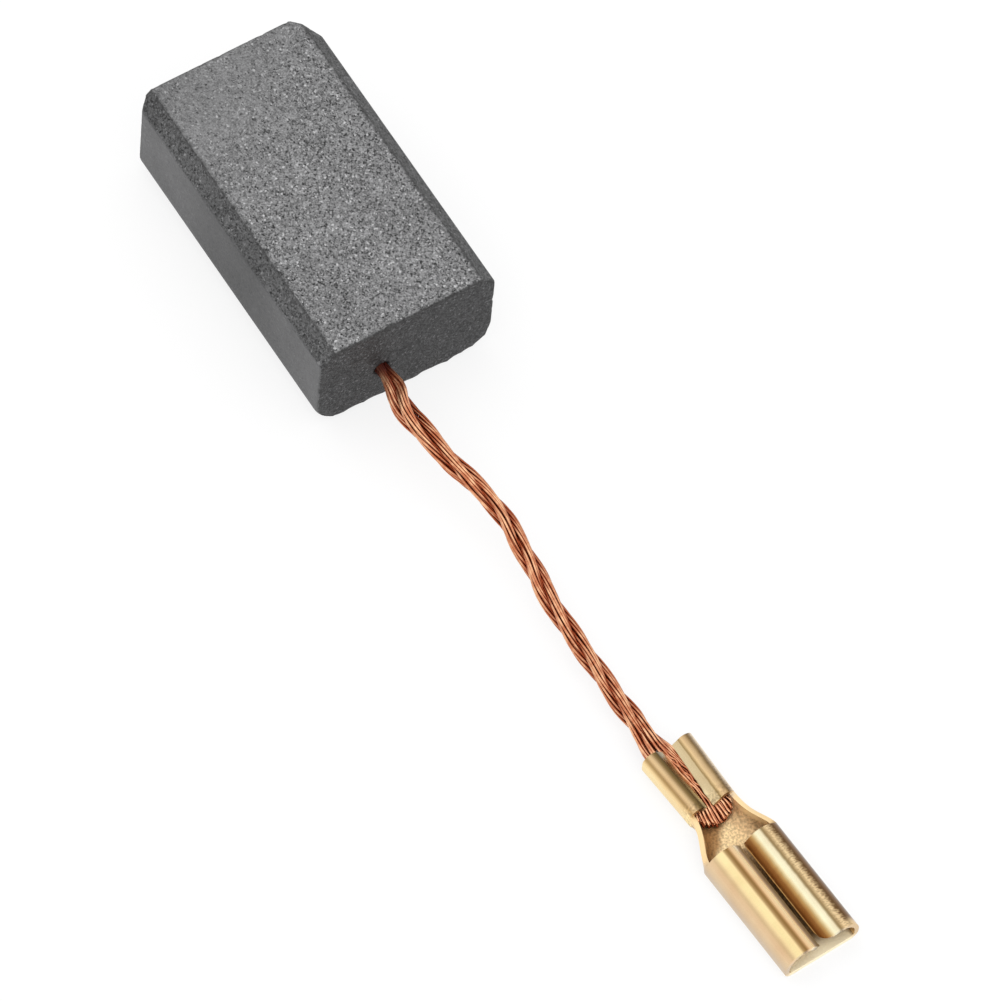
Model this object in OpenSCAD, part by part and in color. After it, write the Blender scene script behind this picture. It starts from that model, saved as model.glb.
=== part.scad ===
// Carbon brush: a pressed carbon block, its copper shunt and a brass push-on terminal.
// +X runs from the contact face to the terminal, +Y across the block, +Z up.
// The origin is the middle of the block's underside, which lies on the surface.

/* [Carbon block] */
// Length of the block from its contact face to its shunt face
block_l = 14; // [11:0.5:24]
// Width of the block
block_w = 8; // [6:0.1:14]
// Thickness of the block
block_t = 5.2; // [4:0.1:10]
// Chamfer along both long top edges
top_chamfer = 0.63; // [0.1:0.01:1]
// Radius of both long bottom edges
bottom_edge_r = 1.3; // [0.2:0.1:1.5]
// Bevel of the contact face's left, -Y, corner
left_bevel = 0.4; // [0.1:0.05:1]
// Bevel of the contact face's right, +Y, corner
right_bevel = 1; // [0.1:0.05:1.5]

/* [Shunt] */
// Diameter of the stranded rope
shunt_d = 0.8; // [0.6:0.05:1]
// Depth to which the rope is pressed into the block
shunt_depth = 7; // [3:0.5:8]
// Gap between the rope and the wall of its hole
shunt_gap = 0.02; // [0.01:0.01:0.1]
// Where the rope leaves the block, measured to the right, +Y, from the block's middle
shunt_y = -1.1; // [-1.5:0.1:1.5]
// Height at which the rope leaves the block
shunt_z = 2.2; // [1.5:0.1:2.8]
// Depth of the small countersink at the mouth of its hole
sink_depth = 0.12; // [0.05:0.01:0.3]
// Width of the countersink's rim outside the hole
sink_rim = 0.08; // [0.02:0.01:0.2]
// Distance between the block and the terminal, which the rope bridges
free_l = 19.5; // [19:0.5:24]

/* [Terminal sheet] */
// Thickness of the folded sheet
sheet_t = 0.25; // [0.2:0.01:0.3]
// Length of the crimp barrel
crimp_l = 3; // [2:0.1:5]
// Width of the crimp barrel at the neck
crimp_w = 2.14; // [2:0.02:2.6]
// Extra width of the crimp barrel at its back end, where the rope enters
crimp_flare = 0.2; // [0:0.05:0.3]
// Height of the crimp barrel
crimp_h = 1.35; // [1.25:0.01:1.6]
// Slit between the crimp barrel's two lips
crimp_slit = 0.36; // [0.1:0.02:0.4]
// Length of the neck between the barrel and the socket
neck_l = 2; // [1.2:0.1:4]
// Height of the neck's rim halfway along
neck_h = 0.85; // [0.6:0.05:1]
// Outer radius of the neck's dished sides halfway along
neck_r = 0.9; // [0.6:0.05:1]

/* [Terminal socket] */
// Width of the tab that the socket takes
tab_w = 2.8; // [2.6:0.1:4.8]
// Thickness of the tab that the socket takes
tab_t = 0.5; // [0.4:0.05:0.9]
// Gap between the tab and each side wall
tab_side_gap = 0.1; // [0.02:0.01:0.15]
// How much the rolled lips sit below the tab's top before it is pushed in
tab_grip = 0.02; // [0:0.01:0.1]
// Length of the socket
socket_l = 5.3; // [4:0.1:8]
// Outer radius of the rolled sides over the walls
roll_r = 0.9; // [0.7:0.05:1]
// Outer radius of the tucked-in part of the rolls
tuck_r = 0.7; // [0.6:0.05:0.8]
// Slit between the socket's two lips
socket_slit = 0.1; // [0.05:0.01:0.3]
// Radius of the left, -Y, lip's corner at the mouth
left_corner_r = 0.4; // [0.1:0.05:0.7]
// Radius of the right, +Y, lip's corner at the mouth
right_corner_r = 0.65; // [0.1:0.05:0.7]

/* [Hidden] */
$fn = 64;
cut = 1;                             // how far a cutting solid runs past what it cuts
fold_r = 0.4;                        // outer radius of the socket's folds at the floor
crimp_fold_r = 0.6;                  // the same for the rounded barrel
crimp_roll_r = 0.42;
crimp_tuck_r = 0.35;
socket_flank = 45;                   // slope of the socket's lips, in degrees from level
crimp_flank = 50;                    // the same for the barrel's lips
neck_lean = 20;                      // how far the neck's sides lean out, in degrees
arc_steps = 8;                       // straight steps in each arc of the folded sheet
neck_points = arc_steps + 5;         // of a half line, kept by the neck: floor, fold and wall
neck_steps = 10;
wire_sides = 8;

shunt_face = block_l / 2;
socket_w = tab_w + 2 * tab_side_gap + 2 * sheet_t;
terminal_l = crimp_l + neck_l + socket_l;
terminal_at = [shunt_face + free_l, -0.05, 0];  // barrel's back end, on the surface
terminal_yaw = 3.5;

// The rope's route from where it leaves the block: forward, to the right and up.
route = [[0, 0, 0], [1, 0, 0], [2, -0.15, -0.05], [3, -0.1, -0.1], [4, 0.05, -0.15],
    [5, 0.25, -0.25], [6, 0.5, -0.35], [7, 0.7, -0.45], [8, 0.8, -0.55], [9, 0.75, -0.65],
    [10, 0.7, -0.8], [11, 0.6, -0.9], [12, 0.55, -1], [13.5, 0.55, -1.2], [15, 0.6, -1.3],
    [16.5, 0.65, -1.4], [18, 0.75, -1.5]];

// The flattened rope under the barrel's lips, and how far its cut end stands out of them.
flat_h = 0.42;
flat_w = crimp_w - 2 * sheet_t - 0.2;
flat_z = sheet_t + flat_h / 2 * cos(180 / wire_sides);
flat_end = 0.7;

// ---------- outlines of the folded sheet ----------

function arc(c, r, from, to) =
    [for (i = [0 : arc_steps]) let (a = from + (to - from) * i / arc_steps)
        c + r * [cos(a), sin(a)]];

// How far a lip runs straight after its tuck, from the tuck's crest to the slit.
function lip_run(crest, tuck, slope, slit) =
    (crest - slit / 2 - tuck * sin(slope)) / cos(slope);

// Height of a folded side whose lip's lower corner stands at lip_z.
function side_h(crest, tuck, slope, slit, lip_z) =
    lip_z + tuck - (tuck - sheet_t) * cos(slope) + lip_run(crest, tuck, slope, slit) * sin(slope);

// Middle line of the sheet in one half of a section, from the floor's middle, up the wall,
// over the roll and down to the lip. Fields: half width, height, then the radii and the lip.
function half_line(w, h, fold, roll, tuck, slope, slit) =
    let (m = sheet_t / 2, crest = w - roll, run = lip_run(crest, tuck, slope, slit),
         tip = [crest, h - tuck] + (tuck - m) * [-sin(slope), cos(slope)])
    concat([[0, m]], arc([w - fold, fold], fold - m, -90, 0),
        arc([crest, h - roll], roll - m, 0, 90),
        [for (p = arc([crest, h - tuck], tuck - m, 90, 90 + slope)) if (p[0] < crest - 0.001) p],
        [tip + run * [-cos(slope), -sin(slope)]]);

// Middle line of one half of the neck's middle section: floor, dished side and straight rim.
function neck_line(w, h, r, lean) =
    let (m = sheet_t / 2, side = arc([w - r, r], r - m, -90, -lean), top = side[arc_steps])
    concat([[0, m]], side,
        [for (i = [1 : neck_points - arc_steps - 2])
            top + i / (neck_points - arc_steps - 2) * (h - top[1]) * [tan(lean), 1]]);

// Unit vector across the line at its point i.
function across(line, i) =
    let (a = line[max(i - 1, 0)], b = line[min(i + 1, len(line) - 1)], d = (b - a) / norm(b - a))
    [-d[1], d[0]];

// The two sides of the sheet along a middle line: its underside, then its inside.
function two_sides(line) = [for (s = [-1, 1])
    [for (i = [0 : len(line) - 1]) line[i] + s * sheet_t / 2 * across(line, i)]];

function mirrored(line) = [for (p = line) [-p[0], p[1]]];
function backwards(line) = [for (i = [len(line) - 1 : -1 : 0]) line[i]];
function after_first(line) = [for (i = [1 : len(line) - 1]) line[i]];

// Closed outline of the whole section, from the two sides of its right half.
function outline(sides) = concat(
    backwards(mirrored(after_first(sides[0]))), sides[0],
    backwards(sides[1]), mirrored(after_first(sides[1])));

socket_crest = socket_w / 2 - roll_r;
socket_h = side_h(socket_crest, tuck_r, socket_flank, socket_slit, sheet_t + tab_t - tab_grip);
socket_sides = two_sides(half_line(socket_w / 2, socket_h, fold_r, roll_r, tuck_r,
    socket_flank, socket_slit));
function crimp_sides(w) = two_sides(half_line(w / 2, crimp_h, crimp_fold_r, crimp_roll_r,
    crimp_tuck_r, crimp_flank, crimp_slit));
neck_sides = two_sides(neck_line((crimp_w + socket_w) / 4, neck_h, neck_r, neck_lean));

// Points of the closed outline that the neck keeps, and the two wings that it leaves out.
half_points = len(socket_sides[0]);
kept = concat([for (i = [half_points - neck_points : half_points + neck_points - 2]) i],
    [for (i = [3 * half_points - neck_points - 1 : 3 * half_points + neck_points - 3]) i]);
wings = [
    [for (i = [half_points + neck_points - 2 : 3 * half_points - neck_points - 1]) i],
    [for (i = [3 * half_points + neck_points - 3 : 5 * half_points - neck_points - 2])
        i % (4 * half_points - 2)]];

// ---------- sweeping ----------

function row(from, count) = [for (j = [0 : count - 1]) from + j];
function at_x(ring, x) = [for (p = ring) [x, p[0], p[1]]];

// Faces between two rows of equal count.
function between(a, b) = [for (j = [0 : len(a) - 1]) let (k = (j + 1) % len(a))
    [a[j], b[j], b[k], a[k]]];

// A ring of the rope: flat sides up, down, left and right, square to the direction d.
function wire_ring(p, d, half_w, half_h) =
    let (side = cross([0, 0, 1], d) / norm(cross([0, 0, 1], d)), up = cross(d, side))
    [for (j = [0 : wire_sides - 1]) let (a = 360 * (j + 0.5) / wire_sides)
        p + half_w * cos(a) * side + half_h * sin(a) * up];

function in_terminal(x, z) =
    terminal_at + [x * cos(terminal_yaw), x * sin(terminal_yaw), z];

// ---------- sub-parts ----------

// Section of the block, y across and z up.
module block_section() {
    difference() {
        translate([-block_w / 2, 0]) square([block_w, block_t]);
        for (side = [-1, 1])
            translate([side * block_w / 2, block_t]) rotate(45)
                square(top_chamfer * sqrt(2), center = true);
        for (side = [-1, 1])
            bottom_corner(side, bottom_edge_r);
    }
}

// What a rounded bottom edge takes away from the section's square corner.
module bottom_corner(side, r) {
    translate([side * (block_w / 2 - r), r])
        difference() {
            translate([side > 0 ? 0 : -r - cut, -r - cut]) square([r + cut, r + cut]);
            circle(r);
        }
}

module corner_bevel(side, size) {
    translate([-block_l / 2, side * block_w / 2, -cut])
        rotate(45)
            translate([-size / sqrt(2), -size / sqrt(2), 0])
                cube([size * sqrt(2), size * sqrt(2), block_t + 2 * cut]);
}

module carbon_block() {
    hole_r = shunt_d / 2 + shunt_gap;
    color([0.36, 0.36, 0.37])
        difference() {
            translate([-block_l / 2, 0, 0]) rotate([90, 0, 90])
                linear_extrude(height = block_l) block_section();
            corner_bevel(-1, left_bevel);
            corner_bevel(1, right_bevel);
            translate([shunt_face - shunt_depth, shunt_y, shunt_z]) rotate([0, 90, 0])
                cylinder(r = hole_r, h = shunt_depth + cut);
            translate([shunt_face - sink_depth, shunt_y, shunt_z]) rotate([0, 90, 0])
                cylinder(r1 = hole_r, r2 = hole_r + 2 * sink_rim, h = 2 * sink_depth);
        }
}

module shunt() {
    inside = [shunt_face - shunt_depth, shunt_y, shunt_z];
    free = [for (p = route) p + [shunt_face, shunt_y, shunt_z]];
    flat_path = [in_terminal(-0.1, flat_z), in_terminal(crimp_l / 2, flat_z),
        in_terminal(crimp_l + flat_end, flat_z)];
    path = concat([inside], free, flat_path);
    last = len(path) - 1;
    color([0.74, 0.38, 0.24])
        polyhedron(convexity = 4,
            faces = concat([row(0, wire_sides)],
                [for (i = [0 : last - 1])
                    each between(row(i * wire_sides, wire_sides), row((i + 1) * wire_sides, wire_sides))],
                [backwards(row(last * wire_sides, wire_sides))]),
            points = [for (i = [0 : last])
                let (ahead = path[min(i + 1, last)] - path[max(i - 1, 0)],
                     flat = i > last - len(flat_path),
                     d = i <= 1 ? [1, 0, 0] : flat ? [cos(terminal_yaw), sin(terminal_yaw), 0]
                        : ahead / norm(ahead),
                     w = flat ? flat_w : shunt_d, h = flat ? flat_h : shunt_d)
                each wire_ring(path[i], d, w / 2, h / 2)]);
}

// The folded sheet in one skin: barrel, neck and socket. Ring by ring from the barrel's back
// end; the neck keeps only the floor and the lower walls, and closes the two sections' wings.
module folded_sheet() {
    back = outline(crimp_sides(crimp_w + crimp_flare));
    barrel = outline(crimp_sides(crimp_w));
    front = outline(socket_sides);
    middle = outline(neck_sides);
    n = len(barrel);
    m = len(kept);
    neck = [for (k = [1 : neck_steps - 1])
        let (s = k / neck_steps, e = s * s * (3 - 2 * s), own = pow(sin(180 * s), 2))
        [for (j = [0 : m - 1]) let (a = barrel[kept[j]], b = front[kept[j]])
            a + e * (b - a) + own * (middle[j] - (a + b) / 2)]];
    socket_at = 2 * n + (neck_steps - 1) * m;
    neck_rows = concat([[for (i = kept) n + i]],
        [for (k = [0 : neck_steps - 2]) row(2 * n + k * m, m)],
        [[for (i = kept) socket_at + i]]);
    polyhedron(convexity = 6,
        points = concat(at_x(back, 0), at_x(barrel, crimp_l),
            [for (k = [1 : neck_steps - 1]) each at_x(neck[k - 1], crimp_l + neck_l * k / neck_steps)],
            at_x(front, crimp_l + neck_l), at_x(front, terminal_l)),
        faces = concat(
            [row(0, n)], between(row(0, n), row(n, n)),
            [for (wing = wings) backwards([for (i = wing) n + i])],
            [for (k = [0 : neck_steps - 1]) each between(neck_rows[k], neck_rows[k + 1])],
            [for (wing = wings) [for (i = wing) socket_at + i]],
            between(row(socket_at, n), row(socket_at + n, n)), [backwards(row(socket_at + n, n))]));
}

// Rounds the front corner of one lip, seen from above.
module lip_corner(side, r) {
    translate([terminal_l - r, side * socket_slit / 2, sheet_t + tab_t / 2])
        difference() {
            translate([0, side > 0 ? -cut : -r, 0])
                cube([r + cut, r + cut, socket_h]);
            translate([0, side * r, -cut])
                cylinder(r = r, h = socket_h + 2 * cut);
        }
}

module terminal() {
    color([0.83, 0.68, 0.4])
        translate(terminal_at) rotate(terminal_yaw)
            difference() {
                folded_sheet();
                lip_corner(-1, left_corner_r);
                lip_corner(1, right_corner_r);
            }
}

carbon_block();
shunt();
terminal();
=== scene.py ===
import math
import numpy as np
import bpy
from mathutils import Matrix, Vector


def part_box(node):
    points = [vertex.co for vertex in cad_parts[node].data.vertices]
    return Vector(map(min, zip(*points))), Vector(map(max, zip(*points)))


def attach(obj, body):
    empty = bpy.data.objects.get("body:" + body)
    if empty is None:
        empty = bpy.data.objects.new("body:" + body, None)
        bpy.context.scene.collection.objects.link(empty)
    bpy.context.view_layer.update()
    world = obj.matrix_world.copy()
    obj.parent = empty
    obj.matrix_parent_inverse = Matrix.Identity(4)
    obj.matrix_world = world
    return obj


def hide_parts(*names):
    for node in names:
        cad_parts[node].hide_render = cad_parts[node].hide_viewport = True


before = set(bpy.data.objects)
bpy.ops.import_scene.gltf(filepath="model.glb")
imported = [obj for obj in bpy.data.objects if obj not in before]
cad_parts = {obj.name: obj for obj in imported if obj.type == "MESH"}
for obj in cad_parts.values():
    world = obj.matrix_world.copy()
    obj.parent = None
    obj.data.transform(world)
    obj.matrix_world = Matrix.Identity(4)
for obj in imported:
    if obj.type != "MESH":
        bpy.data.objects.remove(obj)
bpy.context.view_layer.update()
mm = 0.001
print("frame loaded:", sorted(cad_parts))

# the block's own size in millimetres, and how the terminal lies
blockLow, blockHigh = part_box("carbon_block")
blockLength, blockWidth, blockThickness = (round(side / mm, 3) for side in blockHigh - blockLow)
terminalAt = (26.5, -0.05)  # the back end of its barrel, in millimetres
terminalYaw = math.radians(3.5)
barrelLength = 3.0


def lattice(points, seed):
    # pseudo-random value from 0 to 1 for each whole-number point: a mixed product of the indices
    n = points.astype(np.int64)
    h = n[..., 0] * 374761393 + n[..., 1] * 668265263 + n[..., 2] * 1274126177 + seed * 974711
    h = (h ^ (h >> 13)) * 1103515245
    h = (h ^ (h >> 16)) & 0xFFFFFF
    return h / float(0xFFFFFF)


def noise(points, cell, seed=1):
    # smooth noise from -1 to 1: lattice values at the eight corners of each cell, blended
    q = np.asarray(points, float) / cell + 1000.0
    base = np.floor(q)
    t = q - base
    t = t * t * (3 - 2 * t)
    total = np.zeros(q.shape[:-1])
    for corner in range(8):
        step = np.array([corner & 1, corner >> 1 & 1, corner >> 2 & 1])
        weight = np.prod(np.where(step == 1, t, 1 - t), axis=-1)
        total += weight * lattice(base + step, seed)
    return total * 2 - 1


def wander(along, cell, seed):
    # the same noise on a line, one separate line for each seed in a column
    along, seed = np.broadcast_arrays(np.asarray(along, float), np.asarray(seed, float))
    return noise(np.stack([along, seed * cell * 7.3, seed * cell * 3.1], -1), cell)


def smooth(x, low, high):
    # 0 below low, 1 above high and a cubic S between them
    t = np.clip((np.asarray(x, float) - low) / (high - low), 0, 1)
    return t * t * (3 - 2 * t)


def grid(rows, columns, closed=False, start=0):
    # faces between neighbouring rows of a grid of points; closed joins the last column to the first
    index = start + np.arange(rows * columns).reshape(rows, columns)
    if closed:
        index = np.concatenate([index, index[:, :1]], axis=1)
    return np.stack([index[:-1, :-1], index[:-1, 1:], index[1:, 1:], index[1:, :-1]], -1).reshape(-1, 4)


def newPiece(name, points, faces):
    # a mesh from points in metres, which rides on the only body
    mesh = bpy.data.meshes.new(name)
    mesh.from_pydata(np.asarray(points).reshape(-1, 3).tolist(), [], [list(f) for f in faces])
    mesh.validate()
    mesh.polygons.foreach_set("use_smooth", np.ones(len(mesh.polygons), bool))
    mesh.update()
    piece = bpy.data.objects.new(name, mesh)
    bpy.context.scene.collection.objects.link(piece)
    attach(piece, "root")
    return piece


def addValue(piece, name, values):
    # one number for each point of the piece's mesh, which its material reads
    layer = piece.data.attributes.new(name, "FLOAT", "POINT")
    layer.data.foreach_set("value", np.asarray(values, np.float32).ravel())


def newMaterial(name):
    material = bpy.data.materials.new(name)
    material.use_nodes = True
    return material, material.node_tree, material.node_tree.nodes["Principled BSDF"]


def addNode(tree, kind, values={}, **settings):
    node = tree.nodes.new(kind)
    for key, value in settings.items():
        setattr(node, key, value)
    for key, value in values.items():
        if isinstance(value, bpy.types.NodeSocket):
            tree.links.new(value, node.inputs[key])
        else:
            node.inputs[key].default_value = value
    return node


def addRamp(tree, source, stops):
    # stops in rising order, each a place and a colour
    ramp = addNode(tree, "ShaderNodeValToRGB", {"Fac": source})
    elements = ramp.color_ramp.elements
    elements[0].position, elements[1].position = stops[0][0], stops[-1][0]
    for place, colour in stops[1:-1]:
        elements.new(place)
    for element, (place, colour) in zip(elements, stops):
        element.color = (*colour, 1)
    return ramp.outputs["Color"]


def addMath(tree, operation, first, second=0.5, clamp=False):
    node = addNode(tree, "ShaderNodeMath", {0: first, 1: second}, operation=operation, use_clamp=clamp)
    return node.outputs[0]


def addNoise(tree, place, scale, detail=2, roughness=0.5):
    sockets = {"Vector": place, "Scale": scale, "Detail": detail, "Roughness": roughness}
    return addNode(tree, "ShaderNodeTexNoise", sockets).outputs[0]


def readValue(tree, name, output="Fac"):
    # the number or colour that the piece's points carry under that name
    return addNode(tree, "ShaderNodeAttribute", attribute_name=name).outputs[output]


def addMap(tree, value, low, high, toLow=0.0, toHigh=1.0):
    # low to high becomes toLow to toHigh, in a straight line
    node = addNode(tree, "ShaderNodeMapRange", {0: value, 1: low, 2: high, 3: toLow, 4: toHigh})
    return node.outputs[0]


def addMix(tree, factor, first, second, blend="MIX"):
    # a colour between the first and the second, or the first blended with the second
    node = addNode(tree, "ShaderNodeMix", data_type="RGBA", blend_type=blend)
    for socket, value in zip((node.inputs[0], node.inputs[6], node.inputs[7]), (factor, first, second)):
        if isinstance(value, bpy.types.NodeSocket):
            tree.links.new(value, socket)
        else:
            socket.default_value = value
    return node.outputs[2]


def addBump(tree, height, strength, distance, normal=None):
    sockets = {"Height": height, "Strength": strength, "Distance": distance}
    if normal:
        sockets["Normal"] = normal
    return addNode(tree, "ShaderNodeBump", sockets).outputs[0]


camera = {
    "azimuth": 53.015, "elevation": 59.933, "roll": 6.036,  # degrees
    "distance": 500 * mm,
    "lens": 454.42,
    "aim": (7.504 * mm, -9.824 * mm),  # right and up of the object's origin
}


def makeCamera():
    # the camera looks back along its azimuth and elevation, rolled about its own axis
    az, el, roll = (math.radians(camera[k]) for k in ("azimuth", "elevation", "roll"))
    back = Vector((math.sin(az) * math.cos(el), -math.cos(az) * math.cos(el), math.sin(el)))
    level = Vector((math.cos(az), math.sin(az), 0))
    upright = back.cross(level)
    right = math.cos(roll) * level + math.sin(roll) * upright
    up = back.cross(right)
    place = camera["distance"] * back + camera["aim"][0] * right + camera["aim"][1] * up
    data = bpy.data.cameras.new("camera")
    data.lens = camera["lens"]
    data.clip_start, data.clip_end = 0.01, 10
    eye = bpy.data.objects.new("camera", data)
    bpy.context.scene.collection.objects.link(eye)
    eye.matrix_world = Matrix.Translation(place) @ Matrix((right, up, back)).transposed().to_4x4()
    bpy.context.scene.camera = eye


makeCamera()
bpy.context.scene.view_settings.view_transform = "Standard"
print("camera ready")


# lengths in millimetres
rope = {
    "diameter": 0.8,
    "leaves": (blockLength / 2, -1.1, 2.2),  # where it leaves the block
    # steps from there: forward, to the right and up
    "route": [(0, 0, 0), (1, 0, 0), (2, -0.15, -0.05), (3, -0.1, -0.1), (4, 0.05, -0.15),
              (5, 0.25, -0.25), (6, 0.5, -0.35), (7, 0.7, -0.45), (8, 0.8, -0.55), (9, 0.75, -0.65),
              (10, 0.7, -0.8), (11, 0.6, -0.9), (12, 0.55, -1), (13.5, 0.55, -1.2), (15, 0.6, -1.3),
              (16.5, 0.65, -1.4), (18, 0.75, -1.5)],
    "embedded": 7.0,
    "inBarrel": 0.5,  # height of its middle over the surface, in the barrel
    "bundles": 3,
    "strandRings": ((3, 0.065), (9, 0.165)),  # strands in each ring of a bundle, and its radius
    "bundleRadius": 0.215,
    "strandDiameter": 0.11,
    "strandSides": 8,
    "step": 0.13,  # between a strand's rings
    "bundlePitch": (8.4, 6.6),  # at the block and at the terminal
    "strandPitch": -11.0,
    "cutLength": 0.72,  # how far the cut ends stand out of the barrel
    "loosened": 0.16, "pinched": 0.24,  # share by which it swells past the block, and shrinks in it
    "heapRows": 3, "heapHalf": 0.52, "heapSpread": 0.35,  # half width, and its growth to the ends
    "heapTop": 0.93, "heapFallen": 0.47,  # height of the heap's top under the lips and at the ends
    "rowApart": 0.1,  # between the heap's rows
}


def ropeLine():
    # the route as a smooth curve: each piece is the cubic through its two points with slopes
    # taken from their neighbours, sampled every tenth of a millimetre
    start = np.array(rope["leaves"])
    buried = [start - (rope["embedded"] * share, 0, 0) for share in (1, 0.5)]
    free = [start + step for step in rope["route"]]
    inside = [(terminalAt[0] + d * math.cos(terminalYaw), terminalAt[1] + d * math.sin(terminalYaw),
               rope["inBarrel"]) for d in (0, barrelLength / 2, barrelLength + rope["cutLength"])]
    knots = np.array(buried + free + inside)
    gaps = np.linalg.norm(np.diff(knots, axis=0), axis=1)
    at = np.concatenate([[0], np.cumsum(gaps)])
    slopes = np.gradient(knots, at, axis=0)
    s = np.arange(0, at[-1], 0.1)
    i = np.clip(np.searchsorted(at, s, side="right") - 1, 0, len(gaps) - 1)
    t = ((s - at[i]) / gaps[i])[:, None]
    h = gaps[i][:, None]
    line = ((2 * t**3 - 3 * t**2 + 1) * knots[i] + (t**3 - 2 * t**2 + t) * h * slopes[i]
            + (3 * t**2 - 2 * t**3) * knots[i + 1] + (t**3 - t**2) * h * slopes[i + 1])
    return np.vstack([line, knots[-1]])


def ropeStrands(line):
    # strand k of bundle b winds round the bundle's axis while that winds round the rope's; in the
    # barrel each strand slides over to its own place in the flattened heap
    length = np.concatenate([[0], np.cumsum(np.linalg.norm(np.diff(line, axis=0), axis=1))])
    buried = np.array([0, 3.0, 6.0])  # few rings where the rope is out of sight
    s = np.concatenate([buried, np.arange(6.6, length[-1], rope["step"]), [length[-1]]])
    centre = np.stack([np.interp(s, length, line[:, a]) for a in range(3)], -1)
    ahead = np.gradient(centre, s, axis=0)
    ahead /= np.linalg.norm(ahead, axis=1, keepdims=True)
    side = np.cross([0, 0, 1.0], ahead)
    side /= np.linalg.norm(side, axis=1, keepdims=True)
    above = np.cross(ahead, side)

    barrel = length[-1] - rope["cutLength"] - barrelLength
    share = smooth(s, rope["embedded"], barrel)
    pitch = rope["bundlePitch"][0] + share * (rope["bundlePitch"][1] - rope["bundlePitch"][0])
    turn = np.concatenate([[0], np.cumsum(2 * math.pi * np.diff(s) / pitch[1:])])

    ring = np.concatenate([np.full(n, r) for n, r in rope["strandRings"]])
    angle = np.concatenate([np.arange(n) * 2 * math.pi / n + 0.7 * r for n, r in rope["strandRings"]])
    bundle = np.repeat(np.arange(rope["bundles"]), len(ring))[:, None]
    ring = np.tile(ring, rope["bundles"])[:, None]
    angle = np.tile(angle, rope["bundles"])[:, None]
    who = np.arange(len(ring))[:, None]

    # wound part: sideways and upward offsets from the rope's centreline
    loose = 1 + rope["loosened"] * smooth(s, 7.4, 8.6) * (1 - smooth(s, 9.5, 12))
    loose = loose - rope["pinched"] * (1 - smooth(s, 6.9, 8.3))
    big = turn + bundle * 2 * math.pi / rope["bundles"] + 1.1 + 0.3 * wander(s, 3.1, bundle + 40)
    small = angle + bundle * 0.9 + 2 * math.pi * s / rope["strandPitch"] + 0.3 * wander(s, 1.6, who)
    reachOut = ring * loose * (1 + 0.2 * wander(s, 1.3, who + 90))
    away = rope["bundleRadius"] * loose * (0.92 + 0.2 * wander(s, 2.3, bundle + 70))
    across = away * np.cos(big) + reachOut * np.cos(small)
    upward = away * np.sin(big) + reachOut * np.sin(small)
    depth = np.hypot(across, upward)

    # heaped part: strands sorted by their place on entering the barrel, in columns of a few rows,
    # whose top strands form a mound that shows in the slit and falls off towards the cut ends
    enter = np.searchsorted(s, barrel - 0.5)
    order = np.argsort(np.argsort(across[:, enter]))[:, None]
    rows = rope["heapRows"]
    column = order // rows
    layer = (np.argsort(np.argsort(upward[:, enter] + 10 * column[:, 0])) % rows)[:, None]
    spread = column / column.max() * 2 - 1
    local = s - barrel
    half = rope["heapHalf"] + rope["heapSpread"] * smooth(local, 1.8, 3.3)
    crushed = smooth(local, 0.1, 0.6) * (1 - 0.8 * smooth(local, 1.7, 2.6))
    between = half * (layer % 2) / column.max()
    fanned = 0.07 * smooth(local, 2.4, 3.6) * wander(0, 1, who + 131)
    heapAcross = half * spread + between + fanned + (0.02 + 0.06 * crushed) * wander(s, 0.3, who + 11)
    heapAcross = heapAcross - 0.24 * (1 - smooth(local, 0, 2.2))
    mound = rope["heapTop"] - 0.1 * spread**2 - 0.1 * smooth(local, 1.2, 2.6)
    fallen = rope["heapFallen"] + 0.12 * spread**2
    mound = mound + (fallen - mound) * smooth(local, 2.6, 3.6)
    packed = rope["rowApart"] - 0.02 * smooth(local, 2.8, 3.6)
    heapUp = mound - (rows - 1 - layer) * packed + 0.03 * (0.4 + crushed) * wander(s, 0.35, who + 23)
    settle = smooth(local, -2.1, 0.2)
    across = across * (1 - settle) + heapAcross * settle
    settleUp = smooth(local, -1.0, 0.4)
    upward = upward * (1 - settleUp) + (heapUp - centre[:, 2]) * settleUp

    # every strand is cut at a slightly different length
    cut = barrelLength + rope["cutLength"] - 0.1 - 0.12 * (0.5 + 0.5 * wander(0, 1, who + 57))
    cut = cut - (0.45 - 0.15 * spread) * spread**2
    slide = np.clip(local, None, cut) - local
    path = centre + across[..., None] * side + upward[..., None] * above + slide[..., None] * ahead
    # how deep a strand lies in the rope, or under the heap's top row: the depth of its painted shade
    inner = 1 - smooth(depth, 0.16, 0.34)
    inner = inner * (1 - settleUp) + settleUp * (0.1 + 0.4 * (rows - 1 - layer))
    # the way out of the rope, which is up in the barrel
    out = np.stack([across, upward], -1) / np.maximum(depth, 0.05)[..., None] * (1 - settleUp)[..., None]
    out[..., 1] += settleUp
    return path, side, above, ahead, inner, out


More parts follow.
